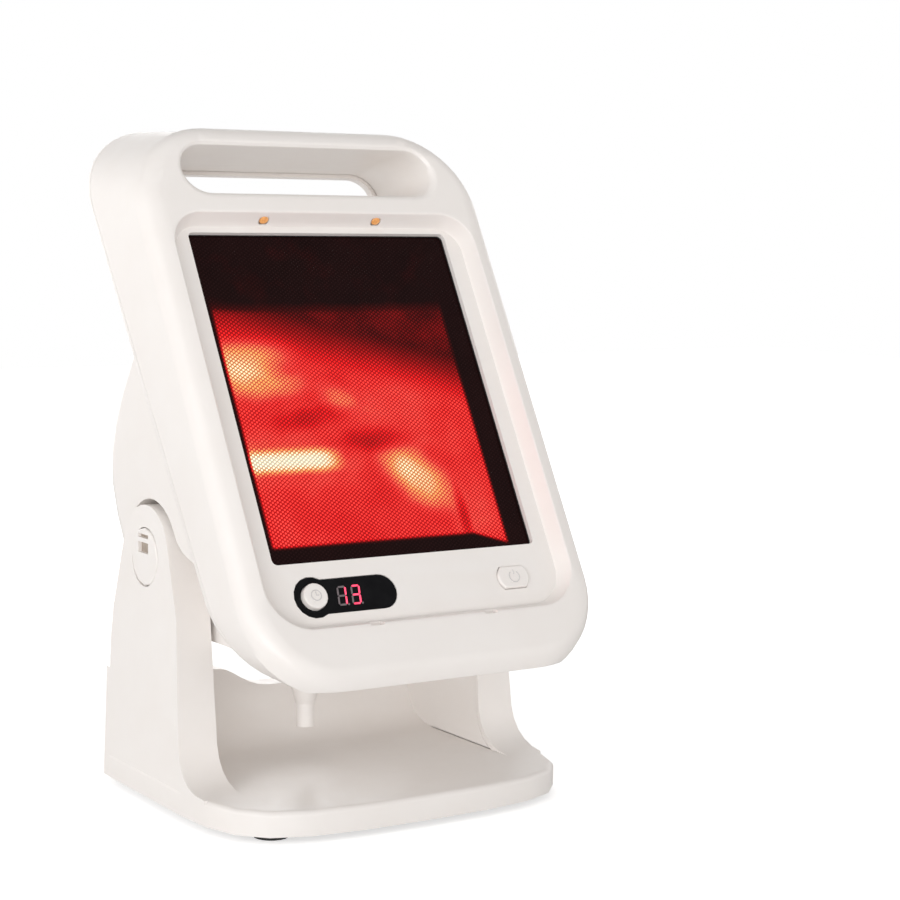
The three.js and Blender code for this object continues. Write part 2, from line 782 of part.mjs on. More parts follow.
function frontShell() {
  const deep = partingHigh + overrun;
  const outside = leaningSlab(headOutline(0), -rimHeight, deep + rimRound, rimRound);
  const inside = leaningSlab(headOutline(wall), wall - rimHeight, deep + rimRound, rimRound - wall);
  const dish = slabY(panelOutline(panelFlare + wall), -rimHeight - overrun, panelThickness);
  const slotTube = slotSlab(wall, -rimHeight - overrun, deep + overrun);
  const hollow = cut(inside.intersect(aboveUnderside(wall)), [dish, slotTube]);
  const posts = [
    ...headScrewPlaces.map(([, x, z]) => drumY(bossRadius, -rimHeight, deep, x, z)),
    ...flangeScrewPlaces.map(([, x, z]) => drumY(bossRadius - gap, 0, flangeFront - gap, x, z)),
    ...boardPosts.map(([x, z]) => drumY(postRadius, 0, boardDepth - gap, x, z)),
  ].map((post) => post.intersect(outside));
  const pilots = [
    ...headScrewPlaces.map(([, x, z]) => drumY(screwRadius + gap, panelThickness + overrun, deep, x, z)),
    ...flangeScrewPlaces.map(([, x, z]) => drumY(screwRadius + gap, panelThickness, deep, x, z)),
  ];
  const behind = partingSlab(wideSquare(), -gap / 2, farAway);
  const windowCut = slabY(roundedBox(-windowHalfWidth, 0, windowHalfWidth, windowHeight, windowCorner),
    -overrun, panelThickness + overrun);
  const ovals = sides.map(([, side]) => {
    const middle = side * ventHoleAcross;
    return slabY(roundedBox(middle - ventHoleHalfLength, ventHoleRise - ventHoleHalfHeight,
      middle + ventHoleHalfLength, ventHoleRise + ventHoleHalfHeight, ventHoleHalfHeight),
    -rimHeight, panelThickness + overrun);
  });
  const notches = sides.map(([, side]) => {
    const middle = side * notchAcross;
    const low = panelBottom - panelFlare - notchDepth;
    return block([middle - notchHalfWidth, -rimHeight - overrun, low],
      [middle + notchHalfWidth, -rimHeight / 2, panelBottom]);
  });
  return cut(join([outside.intersect(aboveUnderside(0)).subtract(hollow), ...posts]), [
    panelSink(), windowCut, ...ovals, ...notches, ...pilots, behind,
    slotSlab(0, -rimHeight - overrun, farAway), crestLip(slotOutline(0), slotLip, slotShear),
    slabY(lensOutline(gap), -overrun, panelThickness + overrun),
    slabY(powerOutline(buttonFit), -overrun, panelThickness + overrun),
  ]);
}

function housingOutline(inset) {
  const rear = housingRear - inset;
  const low = housingUnderside + inset;
  const corner = levelAt(rear, low);
  const bendY = rear - housingCorner * Math.cos(restTilt);
  const shape = new THREE.Shape();
  shape.moveTo(housingFront, levelAt(housingFront, low));
  shape.lineTo(bendY, levelAt(bendY, low));
  shape.quadraticCurveTo(rear, corner, rear, corner + housingCorner);
  shape.lineTo(rear, housingRearLevel);
  shape.bezierCurveTo(rear, humpRearPull - inset, humpFrontPull.depth, humpFrontPull.rise - inset,
    humpStart, humpTop - inset);
  shape.lineTo(housingFront, humpTop - inset);
  return shape;
}

// What the arms sweep beside the narrow part of the housing, from the outer faces to a wall in from them
function armSweep(outset) {
  const radius = pocketRadius + outset;
  const level = pocketRear + outset;
  const { reach, drop, steep } = pocketFall;
  const fallEnd = pivotRise - drop + outset;
  const shape = new THREE.Shape();
  shape.moveTo(pivotDepth - farAway, pivotRise - farAway);
  shape.lineTo(pivotDepth + farAway, pivotRise - farAway);
  shape.lineTo(pivotDepth + farAway, pivotRise + level);
  shape.absarc(pivotDepth, pivotRise, radius, Math.asin(level / radius), Math.PI, false);
  shape.quadraticCurveTo(pivotDepth - radius, fallEnd + steep, pivotDepth - reach, fallEnd);
  shape.lineTo(pivotDepth - farAway, fallEnd);
  const inner = housingNarrow - outset;
  const outer = housingHalfWidth + overrun;
  return slabX(shape, inner, outer).add(slabX(shape, -outer, -inner));
}

function louvres() {
  const first = -louvrePitch * (louvreCount - 1) / 2;
  return louvreRows.flatMap(({ low, high }) => Array.from({ length: louvreCount }, (_, index) => {
    const x = first + louvrePitch * index;
    return block([x - louvreHalfWidth, pivotDepth, low], [x + louvreHalfWidth, housingRear + overrun, high]);
  }));
}

function rearShell() {
  const plate = partingSlab(headOutline(0), -overrun - rearPlateEdge, rearPlateDepth, rearPlateEdge)
    .intersect(aboveUnderside(0));
  const tray = partingSlab(headOutline(wall), -overrun, rearPlateDepth - wall).intersect(aboveUnderside(wall))
    .subtract(slotSlab(wall - slotStep, 0, farAway));
  const housing = slabX(housingOutline(0), -housingHalfWidth, housingHalfWidth, housingRound)
    .subtract(armSweep(0));
  const innerHalf = housingHalfWidth - wall;
  const room = slabX(housingOutline(wall), -innerHalf, innerHalf, housingRound - wall)
    .subtract(armSweep(wall));
  const inFront = partingSlab(wideSquare(), -farAway, gap / 2);
  const screwPads = headScrewPlaces.map(([, x, z]) => (
    drumY(bossRadius + wall / 2, 0, farAway, x, z).intersect(plate)));
  const main = cut(join([plate, housing]), [tray, room]);
  const whole = join([main, ...screwPads]).subtract(inFront);
  const holes = headScrewPlaces.flatMap(([, x, z]) => [
    drumY(screwRadius + gap, 0, farAway, x, z),
    drumY(screwHeadRadius + gap, headScrewSeat(z), farAway, x, z),
  ]);
  const glandHole = solid(drum(glandNeckRadius + gap, 0, overrun * 2, drumSteps).rotateX(Math.PI / 2)
    .translate(gland.across, pivotY - gland.ahead, housingUnderside).applyMatrix4(standToHead));
  const boltHoles = sides.map(([, side]) => (
    drumX(boltRadius + boltClearance, side * (hubOuter - overrun), side * (housingNarrow + overrun),
      pivotDepth, pivotRise)));
  return cut(whole, [slotSlab(-slotStep, 0, farAway), glandHole, ...boltHoles, ...holes, ...louvres()]);
}

function headScrewSeat(z) {
  return partingAt(z, rearPlateDepth) - screwHeadHeight - gap;
}

function headScrew(x, z) {
  const seat = headScrewSeat(z) + gap;
  const screwHead = drumY(screwHeadRadius, seat, seat + screwHeadHeight - gap, x, z);
  return screwHead.add(drumY(screwRadius, panelThickness + overrun + gap, seat + gap, x, z));
}

function flangeScrew(x, z) {
  const seat = flangeFront + sheet + gap;
  const screwHead = drumY(screwHeadRadius, seat, seat + screwHeadHeight, x, z);
  return screwHead.add(drumY(screwRadius, panelThickness + gap, seat + gap, x, z));
}

function glassOutline(inset) {
  const lap = glassLap - inset;
  return roundedBox(-windowHalfWidth - lap, -lap, windowHalfWidth + lap, windowHeight + lap, glassCorner);
}

function glassSeal() {
  const front = panelThickness + gap;
  const opening = roundedBox(-windowHalfWidth, 0, windowHalfWidth, windowHeight, windowCorner);
  const sealRing = slabY(glassOutline(0), front, front + sealThickness);
  return sealRing.subtract(slabY(opening, front - overrun, front + overrun));
}

function troughOutline(inset) {
  const shape = new THREE.Shape();
  shape.moveTo(flangeFront - inset * overrun, reflectorMouthLow + inset);
  shape.lineTo(flangeFront, reflectorMouthLow + inset);
  shape.lineTo(reflectorDepth - inset, reflectorBackLow + inset / 2);
  shape.lineTo(reflectorDepth - inset, reflectorBackHigh - inset / 2);
  shape.lineTo(flangeFront, reflectorMouthHigh - inset);
  shape.lineTo(flangeFront - inset * overrun, reflectorMouthHigh - inset);
  return shape;
}

function reflector() {
  const flange = slabY(roundedBox(-flangeHalfWidth, flangeBottom, flangeHalfWidth, flangeTop, glassCorner),
    flangeFront, flangeFront + sheet);
  const half = reflectorHalfLength;
  const trough = slabX(troughOutline(0), -half, half);
  const room = slabX(troughOutline(sheet), sheet - half, half - sheet);
  const holes = flangeScrewPlaces.map(([, x, z]) => (
    drumY(screwRadius + gap, 0, flangeFront + overrun, x, z)));
  return cut(flange.add(trough), [room, ...holes]);
}

function heaterTube() {
  const profile = [
    [0, -tubePin.end], [tubePin.radius, -tubePin.end], [tubePin.radius, -tubeCeramic.end],
    [tubeCeramic.radius, -tubeCeramic.end], [tubeCeramic.radius, -tubeNeck.end],
    [tubeNeck.radius, -tubeNeck.end], [tubeRadius, -tubeHalfLength],
  ];
  const mirrored = profile.map(([radius, along]) => [radius, -along]).reverse();
  const points = [...profile, ...mirrored].map(([radius, along]) => new THREE.Vector2(radius, along));
  const geometry = new THREE.LatheGeometry(points, smallSteps);
  return solid(geometry.rotateZ(-Math.PI / 2).translate(0, tubeDepth, tubeRise));
}

function lampSocket(side) {
  const end = reflectorHalfLength - sheet - gap;
  const reach = [side * socketInner, side * end].sort((a, b) => a - b);
  const body = block([reach[0], tubeDepth - socketHalfHeight, tubeRise - socketHalfHeight],
    [reach[1], tubeDepth + socketHalfHeight, tubeRise + socketHalfHeight]);
  const bore = drumX(tubeCeramic.radius + gap, side * (socketInner - overrun), side * (tubePin.end + gap),
    tubeDepth, tubeRise);
  return body.subtract(bore);
}

// A folded sheet that stands on the reflector's back by its two short legs
function heatShield() {
  const low = reflectorBackLow + shieldInset;
  const high = reflectorBackHigh - shieldInset;
  const front = reflectorDepth + gap;
  const back = front + shieldStandoff;
  const shape = new THREE.Shape();
  shape.moveTo(front, low);
  shape.lineTo(back, low);
  shape.lineTo(back, high);
  shape.lineTo(front, high);
  shape.lineTo(front, high - sheet);
  shape.lineTo(back - sheet, high - sheet);
  shape.lineTo(back - sheet, low + sheet);
  shape.lineTo(front, low + sheet);
  return slabX(shape, -shieldHalfLength, shieldHalfLength);
}

function thermalCutout() {
  const front = reflectorDepth + gap + shieldStandoff + gap;
  return drumY(cutoutRadius, front, front + cutoutThickness, cutoutAcross, cutoutRise, drumSteps);
}

function displayLens() {
  const back = panelThickness + gap;
  const face = slabY(lensOutline(0), lensRecess, back + lensLipThickness / 2);
  const lip = slabY(lensOutline(lensLip), back, back + lensLipThickness);
  const { across, rise } = lensCircle;
  const hole = drumY(timerButtonRadius + buttonFit, -overrun, back + overrun, across, rise, drumSteps);
  return face.add(lip).subtract(hole);
}

const timerFlangeFront = panelThickness + gap + lensLipThickness + gap;
const powerFlangeFront = panelThickness + gap;
const stemEnd = switchFront + overrun - buttonTravel;

function timerButton() {
  const { across, rise } = lensCircle;
  const face = -timerButtonProud;
  const radius = timerButtonRadius;
  const flangeEnd = timerFlangeFront + buttonFlangeThickness;
  const profile = [
    [0, face], [radius - buttonEdge, face],
    [radius - buttonEdge * chamferShare, face + buttonEdge * chamferShare],
    [radius, face + buttonEdge], [radius, timerFlangeFront], [radius + buttonFlange, timerFlangeFront],
    [radius + buttonFlange, flangeEnd], [stemRadius, flangeEnd], [stemRadius, stemEnd], [0, stemEnd],
  ];
  const points = profile.map(([size, along]) => new THREE.Vector2(size, along));
  return solid(new THREE.LatheGeometry(points, drumSteps).translate(across, 0, rise));
}

function powerKey() {
  const { across, rise, proud } = powerButton;
  const flangeEnd = powerFlangeFront + buttonFlangeThickness;
  return join([
    slabY(powerOutline(0), -proud, flangeEnd, buttonEdge),
    slabY(powerOutline(buttonFlange), powerFlangeFront, flangeEnd),
    drumY(stemRadius, flangeEnd - gap, stemEnd, across, rise),
  ]);
}

function pushSwitch(across, rise) {
  const half = switchHalfWidth;
  const body = block(
    [across - half, switchFront, rise - half],
    [across + half, boardDepth - gap, rise + half],
  );
  return body.subtract(drumY(stemRadius + stemFit, 0, stemEnd + buttonTravel + gap, across, rise));
}

function controlBoard() {
  return block(
    [-boardHalfWidth, boardDepth, boardLow],
    [boardHalfWidth, boardDepth + boardThickness, boardHigh],
  );
}

function displayModule() {
  const { across, rise, halfWidth, halfHeight, front } = display;
  return block([across - halfWidth, front, rise - halfHeight],
    [across + halfWidth, boardDepth - gap, rise + halfHeight]);
}

function relayBlock() {
  const { across, rise, halfWidth, halfHeight, depth } = relay;
  const front = boardDepth + boardThickness + gap;
  return block([across - halfWidth, front, rise - halfHeight],
    [across + halfWidth, front + depth, rise + halfHeight]);
}

function pivotHub(side) {
  return ring(hubRadius, side * (hubOuter - hubThickness), side * hubOuter, pivotDepth, pivotRise);
}

function cordGland() {
  const under = housingUnderside - gap;
  const over = housingUnderside + wall + gap;
  const { tip, shoulder, tipRadius, coneRadius, bore, across, ahead } = gland;
  const profile = [
    [bore, tip], [tipRadius, tip], [tipRadius, shoulder], [tipRadius + gap, shoulder], [coneRadius, under],
    [glandNeckRadius, under], [glandNeckRadius, over], [glandFlangeRadius, over],
    [glandFlangeRadius, over + glandFlangeThickness], [bore, over + glandFlangeThickness], [bore, tip],
  ];
  const points = profile.map(([radius, height]) => new THREE.Vector2(radius, height));
  const geometry = new THREE.LatheGeometry(points, drumSteps).rotateX(Math.PI / 2);
  return solid(geometry.translate(across, pivotY - ahead, 0).applyMatrix4(standToHead));
}

function addHead() {
  head.add(piece('front_shell', frontShell(), whitePlastic));
  head.add(piece('rear_shell', rearShell(), whitePlastic));
  head.add(piece('glass_seal', glassSeal(), fibre));
  head.add(piece('ceramic_glass', slabY(glassOutline(0), glassFront, glassBack), darkGlass));
  head.add(piece('reflector', reflector(), aluminium));
  head.add(piece('heater_tube', heaterTube(), quartz));
  head.add(piece('heat_shield', heatShield(), aluminium));
  head.add(piece('thermal_cutout', thermalCutout(), brightSteel));
  head.add(piece('control_board', controlBoard(), greenBoard));
  head.add(piece('display_module', displayModule(), blackPlastic));
  head.add(piece('display_lens', displayLens(), smokedLens));
  head.add(piece('relay', relayBlock(), blackPlastic));
  head.add(piece('timer_button', timerButton(), whitePlastic));
  head.add(piece('power_button', powerKey(), whitePlastic));
  head.add(piece('timer_switch', pushSwitch(lensCircle.across, lensCircle.rise), blackPlastic));
  head.add(piece('power_switch', pushSwitch(powerButton.across, powerButton.rise), blackPlastic));
  head.add(piece('cord_gland', cordGland(), whitePlastic));
  sides.forEach(([name, side]) => {
    head.add(piece(`lamp_socket_${name}`, lampSocket(side), ceramic));
    head.add(piece(`pivot_hub_${name}`, pivotHub(side), brightSteel));
  });
  headScrewPlaces.forEach(([place, x, z]) => (
    head.add(piece(`head_screw_${place}`, headScrew(x, z), brightSteel))));
  flangeScrewPlaces.forEach(([place, x, z]) => (
    head.add(piece(`reflector_screw_${place}`, flangeScrew(x, z), brightSteel))));
}

addStand();
addHead();

export default lamp;
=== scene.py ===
# Infrared heat therapy lamp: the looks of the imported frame, in metres and in the part's own frame.
import math

import bpy
from mathutils import Matrix, Vector


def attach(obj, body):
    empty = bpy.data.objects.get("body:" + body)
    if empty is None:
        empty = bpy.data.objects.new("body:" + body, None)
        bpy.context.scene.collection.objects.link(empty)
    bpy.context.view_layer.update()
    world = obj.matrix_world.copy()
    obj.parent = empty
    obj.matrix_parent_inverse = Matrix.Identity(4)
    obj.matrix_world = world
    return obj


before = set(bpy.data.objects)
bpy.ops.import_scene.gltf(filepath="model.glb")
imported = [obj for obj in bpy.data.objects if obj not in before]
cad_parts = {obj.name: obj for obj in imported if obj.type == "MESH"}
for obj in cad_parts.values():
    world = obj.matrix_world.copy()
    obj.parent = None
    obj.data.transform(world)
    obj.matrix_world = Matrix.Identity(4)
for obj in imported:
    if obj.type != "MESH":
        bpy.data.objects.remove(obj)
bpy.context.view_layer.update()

mm = 0.001  # metres

# The head at rest: how far it leans back, and where its pivot lies behind and above the window's lower edge
head_tilt = math.radians(30)
pivot = Vector((0, 26.4 * mm, 130 * mm))
pivot_behind_panel = 91 * mm
pivot_above_window = 43 * mm

# Window in the panel
window_half_width = 78.5 * mm
window_height = 185 * mm

# Dots raised on the glass, in staggered columns: each has a foot ring, a shoulder ring and a tip
dimple_across = 2.8 * mm
dimple_rise = 2.1 * mm
dimple_radius = 0.62 * mm
dimple_height = 0.26 * mm
dimple_sides = 6
dimple_ring_shares = ((1, 0), (0.62, 0.78))
dimple_stagger_share = 0.5

# Digits, as thin plates on the front of the lens
digit_centres = [-44.3 * mm, -36.3 * mm]
digit_middle = -18.7 * mm
digit_width = 5.3 * mm
digit_height = 10.3 * mm
digit_stroke = 0.95 * mm
digit_gap = 0.16 * mm
digit_slant = math.tan(math.radians(7))
digit_thickness = 0.12 * mm
point_radius = 0.55 * mm
point_sides = 12
segments_shown = ["bc", "abcdg"]

# Slots in the pivot caps
slot_depth = 2 * mm

# Signs on the keys: a circle open at the top with a bar, and a clock with two hands
mark_width = 0.55 * mm
mark_height = 0.3 * mm
mark_crest_share = 0.6
power_mark_radius = 3.1 * mm
power_arc_start = 125
power_arc_end = 415
power_arc_steps = 28
power_bar_shares = (0.35, 1.25)
timer_mark_radius = 2.7 * mm
timer_mark_steps = 32
minute_hand_share = 0.75
hour_hand_share = 0.55

# Amber lenses in the two vents of the recess's upper wall
vent_across = 34.3 * mm
vent_back = -4 * mm
vent_up = 190.3 * mm
vent_half_length = 2.6 * mm
vent_half_width = 2.3 * mm
vent_crown = 0.7 * mm
vent_slope = math.radians(24)
vent_rings = 4
vent_sides = 24

# Camera: the photograph's own, found from the edges of the window and the base and from the digits
camera_place = Vector((-567.8 * mm, -969.1 * mm, 307.2 * mm))
camera_yaw = math.radians(-31.92)
camera_pitch = math.radians(9.9)
camera_roll = math.radians(0.7)
camera_lens = 84.2
camera_sensor = 36
camera_near = 50 * mm
camera_shift_share = (0.0656, 0.15)

head_axes = (
    Matrix.Translation(pivot)
    @ Matrix.Rotation(-head_tilt, 4, "X")
    @ Matrix.Translation((0, -pivot_behind_panel, -pivot_above_window))
)
panel_origin = head_axes.translation


def head_box(node):
    """Lowest and highest corner of a CAD node along the head's axes: across, back and up."""
    turned = head_axes.inverted()
    corners = [turned @ v.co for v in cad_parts[node].data.vertices]
    low = [min(c[axis] for c in corners) for axis in range(3)]
    high = [max(c[axis] for c in corners) for axis in range(3)]
    return Vector(low), Vector(high)


# A noise seldom leaves this range about its middle
noise_low = 0.3
noise_middle = 0.5
noise_high = 0.7
noise_roughness = 0.55


class Shader:
    """A material's nodes, with a short call for each kind used here."""

    def __init__(self, name):
        self.material = bpy.data.materials.new(name)
        self.material.use_nodes = True
        self.tree = self.material.node_tree
        self.surface = self.tree.nodes["Principled BSDF"]
        self.place = self.node("ShaderNodeTexCoord").outputs["Object"]

    def node(self, kind, inputs=None, **settings):
        made = self.tree.nodes.new(kind)
        for name, value in settings.items():
            setattr(made, name, value)
        for name, value in (inputs or {}).items():
            self.feed(made.inputs[name], value)
        return made

    def feed(self, socket, value):
        if isinstance(value, bpy.types.NodeSocket):
            self.tree.links.new(value, socket)
        else:
            socket.default_value = value

    def set(self, **inputs):
        for name, value in inputs.items():
            self.feed(self.surface.inputs[name.replace("_", " ")], value)

    def noise(self, size, detail, place=None):
        made = self.node(
            "ShaderNodeTexNoise",
            {
                "Vector": place or self.place,
                "Scale": 1 / size,
                "Detail": detail,
                "Roughness": noise_roughness,
            },
        )
        return made.outputs["Fac"]

    def stretched(self, x, y, z):
        made = self.node("ShaderNodeMapping", {"Vector": self.place, "Scale": (x, y, z)})
        return made.outputs["Vector"]

    def ramp(self, level, stops):
        made = self.node("ShaderNodeValToRGB", {"Fac": level})
        elements = made.color_ramp.elements
        while len(elements) < len(stops):
            elements.new(1)
        for element, (position, colour) in zip(elements, stops):
            element.position = position
            element.color = (*colour, 1)
        return made.outputs["Color"]

    def two_tone(self, level, dark, light, low=noise_low, high=noise_high):
        """Dark where a noise is low, light where it is high, and a blend between."""
        return self.ramp(level, [(low, dark), (high, light)])

    def between(self, level, low, high, from_low=0, from_high=1, steps="LINEAR"):
        made = self.node(
            "ShaderNodeMapRange",
            {"Value": level, "From Min": from_low, "From Max": from_high, "To Min": low, "To Max": high},
            interpolation_type=steps,
        )
        return made.outputs["Result"]

    def math(self, operation, first, second=0.0):
        return self.node("ShaderNodeMath", {0: first, 1: second}, operation=operation).outputs[0]

    def bump(self, height, distance, strength=1):
        made = self.node("ShaderNodeBump", {"Height": height, "Distance": distance, "Strength": strength})
        self.feed(self.surface.inputs["Normal"], made.outputs["Normal"])


def white_plastic():
    """Satin ABS, warm white: a fine moulded grain, faint mottling, and a little lighter on its sharp edges.
    """
    mottle_size = 30 * mm
    smear_size = 6 * mm
    grain_size = 0.5 * mm
    grain_depth = 0.01 * mm
    grain_strength = 0.5
    lighter_edge_strength = 0.25
    lighter_edge_starts = 0.55
    lighter_edge_full = 0.7
    shader = Shader("white_plastic")
    colour = shader.two_tone(shader.noise(mottle_size, 4), (0.9, 0.858, 0.824), (0.918, 0.882, 0.852))
    edges = shader.node("ShaderNodeNewGeometry").outputs["Pointiness"]
    lighter_edge = shader.between(edges, 0, lighter_edge_strength, lighter_edge_starts, lighter_edge_full)
    edged_colour = shader.node("ShaderNodeMix", {"Factor": lighter_edge}, data_type="RGBA")
    shader.feed(edged_colour.inputs["A"], colour)
    edged_colour.inputs["B"].default_value = (0.93, 0.905, 0.885, 1)
    shader.set(Base_Color=edged_colour.outputs["Result"])
    shader.set(Roughness=shader.between(shader.noise(smear_size, 5), 0.3, 0.42, noise_low, noise_high))
    shader.bump(shader.noise(grain_size, 2), grain_depth, grain_strength)
    return shader.material


def rubber():
    """Moulded black rubber with a dusty bloom."""
    dust_size = 4 * mm
    dust_starts = 0.35
    dust_full = 0.75
    grain_size = 0.4 * mm
    grain_depth = 0.03 * mm
    shader = Shader("rubber")
    dust = shader.noise(dust_size, 6)
    colour = shader.two_tone(dust, (0.012, 0.012, 0.013), (0.04, 0.038, 0.036), dust_starts, dust_full)
    shader.set(Base_Color=colour)
    shader.set(Roughness=shader.between(dust, 0.62, 0.85))
    shader.bump(shader.noise(grain_size, 3), grain_depth)
    return shader.material


def black_plastic():
    """Fine-grained black moulding."""
    cloud_size = 10 * mm
    grain_size = 0.5 * mm
    grain_depth = 0.01 * mm
    shader = Shader("black_plastic")
    cloud = shader.noise(cloud_size, 4)
    shader.set(Base_Color=shader.two_tone(cloud, (0.01, 0.01, 0.011), (0.02, 0.02, 0.021)))
    shader.set(Roughness=shader.between(cloud, 0.35, 0.5))
    shader.bump(shader.noise(grain_size, 2), grain_depth)
    return shader.material


def smoked_lens():
    """Glossy smoked acrylic, with faint smears."""
    smear_size = 7 * mm
    ripple_size = 12 * mm
    ripple_depth = 0.01 * mm
    shader = Shader("smoked_lens")
    smears = shader.noise(smear_size, 5)
    shader.set(Base_Color=shader.two_tone(smears, (0.004, 0.004, 0.005), (0.008, 0.008, 0.009)))
    shader.set(Roughness=shader.between(smears, 0.06, 0.16))
    shader.surface.inputs["Specular IOR Level"].default_value = 0.12
    shader.bump(shader.noise(ripple_size, 1), ripple_depth)
    return shader.material


# How much longer a drawn surface's streaks are along x, as the scale of their noise there
streak_share = 0.1


def metal(name, dark, light, roughness, grain):
    """Drawn or brushed metal with a grain along x."""
    grain_depth = 0.01 * mm
    spread = 0.08
    shader = Shader(name)
    brushed = shader.noise(grain, 3, place=shader.stretched(streak_share, 1, 1))
    shader.set(Base_Color=shader.two_tone(brushed, dark, light))
    shader.set(Roughness=shader.between(brushed, roughness - spread, roughness + spread))
    shader.surface.inputs["Metallic"].default_value = 1
    shader.bump(brushed, grain_depth)
    return shader.material


def quartz():
    """Clear quartz tube with drawn streaks."""
    streak_size = 3 * mm
    streak_depth = 0.02 * mm
    shader = Shader("quartz")
    streaks = shader.noise(streak_size, 3, place=shader.stretched(streak_share, 1, 1))
    shader.set(Base_Color=shader.two_tone(streaks, (0.86, 0.84, 0.8), (0.95, 0.94, 0.92)))
    shader.set(Roughness=shader.between(streaks, 0.04, 0.14))
    shader.surface.inputs["Transmission Weight"].default_value = 0.7
    shader.bump(streaks, streak_depth)
    return shader.material


def matte(name, dark, light, size, roughness, depth):
    """A dull, mottled material such as fired ceramic, pressed fibre or a lacquered board."""
    spread = 0.1
    grain_share = 1 / 6
    shader = Shader(name)
    mottle = shader.noise(size, 5)
    shader.set(Base_Color=shader.two_tone(mottle, dark, light))
    shader.set(Roughness=shader.between(mottle, roughness - spread, roughness + spread))
    shader.bump(shader.noise(size * grain_share, 3), depth)
    return shader.material


# The heater's glow, painted on the window glass as emission: it starts at a level line, and is full further
# down, lower towards the right
glow_top = 147 * mm
glow_top_fade = 8 * mm
glow_first_strength = 0.19
glow_full = 116 * mm
glow_full_fade = 17 * mm
glow_full_strength = 0.32
glow_lean = 0.29

# Clouds in the glow: their size, how far they bend its edge, and how much they lighten and darken it
cloud_size = 24 * mm
cloud_reach = 20 * mm
cloud_strength = 0.2

# The lit tube's end, painted into the glow on the window glass
tube_up = 56.5 * mm
tube_core = 1 * mm
tube_halo = 9 * mm
tube_strength = 0.4
tube_start = -16 * mm
tube_bright = -34 * mm

# A spot's falloff runs from 0 at its rim to 1 in its middle, and gives full strength from here on
spot_full = 0.9

# Painted bright spots of glow and painted dark spots of shade in the window: across, up, half length, half
# width, slant in degrees and strength
glow_spots = [
    (-66 * mm, 114 * mm, 44 * mm, 15 * mm, -6, 0.27),
    (-60 * mm, 101 * mm, 38 * mm, 14 * mm, 5, 0.24),
    (-15 * mm, 91 * mm, 17 * mm, 12 * mm, 20, 0.13),
    (-58 * mm, 57 * mm, 70 * mm, 28 * mm, 0, 0.1),
    (22 * mm, 43 * mm, 33 * mm, 20 * mm, 42, 0.31),
    (10 * mm, 52 * mm, 18 * mm, 12 * mm, 20, 0.06),
    (20 * mm, 84 * mm, 50 * mm, 32 * mm, 0, 0.06),
    (52 * mm, 30 * mm, 30 * mm, 34 * mm, 0, 0.05),
]
glow_dark_spots = [
    (2 * mm, 66 * mm, 30 * mm, 10 * mm, 0, 0.14),
    (-34 * mm, 80 * mm, 34 * mm, 9 * mm, -8, 0.1),
    (43 * mm, 20 * mm, 5 * mm, 26 * mm, 0, 0.16),
]

# The reflector's edges, painted dark as shade in the glow
dark_left = -74 * mm
dark_right = 65.5 * mm
dark_bottom = 10 * mm
dark_corner = 46 * mm
dark_corner_slope = 0.35
dark_fade = 1.6 * mm


def glow_spot(shader, panel, spot):
    """A soft oval of painted glow in the window, added as light or taken away as shade."""
    x, z, half_x, half_z, slant, strength = spot
    mapping = shader.node(
        "ShaderNodeMapping",
        {
            "Vector": panel,
            "Location": (x, 0, z),
            "Rotation": (0, math.radians(slant), 0),
            "Scale": (half_x, 1, half_z),
        },
        vector_type="TEXTURE",
    )
    falloff = shader.node(
        "ShaderNodeTexGradient", {"Vector": mapping.outputs["Vector"]}, gradient_type="SPHERICAL"
    )
    return shader.between(falloff.outputs["Fac"], 0, strength, 0, spot_full, "SMOOTHSTEP")


def glow_level(shader, panel):
    """The painted glow at each point of the window, from 0 for unlit to 1 for the tube."""
    parts = shader.node("ShaderNodeSeparateXYZ", {"Vector": panel})
    across = parts.outputs["X"]
    up = parts.outputs["Z"]
    cloud = shader.math("SUBTRACT", shader.noise(cloud_size, 4, place=panel), noise_middle)
    first = shader.between(up, glow_first_strength, 0, glow_top - glow_top_fade, glow_top, "SMOOTHSTEP")
    fall = shader.math("ADD", up, shader.math("MULTIPLY", across, glow_lean))
    fall = shader.math("ADD", fall, shader.math("MULTIPLY", cloud, cloud_reach))
    fall_low = glow_full - glow_full_fade
    fall_high = glow_full + glow_full_fade
    full = shader.between(fall, glow_full_strength, 0, fall_low, fall_high, "SMOOTHSTEP")
    level = shader.math("ADD", first, full)
    for spot in glow_spots:
        level = shader.math("ADD", level, glow_spot(shader, panel, spot))
    for spot in glow_dark_spots:
        level = shader.math("SUBTRACT", level, glow_spot(shader, panel, spot))
    off_tube = shader.math("ABSOLUTE", shader.math("SUBTRACT", up, tube_up))
    beam = shader.between(off_tube, tube_strength, 0, tube_core, tube_halo, "SMOOTHSTEP")
    end = shader.between(across, 1, 0, tube_bright, tube_start, "SMOOTHSTEP")
    level = shader.math("ADD", level, shader.math("MULTIPLY", beam, end))
    level = shader.math("ADD", level, shader.math("MULTIPLY", cloud, cloud_strength))
    past_corner = shader.math("MAXIMUM", shader.math("SUBTRACT", across, dark_corner), 0)
    corner = shader.math("MULTIPLY", past_corner, dark_corner_slope)
    for value, edge in (
        (across, dark_left),
        (shader.math("MULTIPLY", across, -1), -dark_right),
        (shader.math("ADD", up, corner), dark_bottom),
    ):
        inside = shader.between(value, 0, 1, edge - dark_fade, edge + dark_fade, "SMOOTHSTEP")
        level = shader.math("MULTIPLY", level, inside)
    return level


# The painted glow's colour at each level of heat
heat_colours = [
    (0, (0.008, 0.0025, 0.0025)),
    (0.18, (0.05, 0.003, 0.003)),
    (0.34, (0.34, 0.006, 0.007)),
    (0.52, (0.8, 0.014, 0.016)),
    (0.66, (0.95, 0.075, 0.06)),
    (0.84, (1, 0.42, 0.13)),
    (1, (1, 0.88, 0.64)),
]


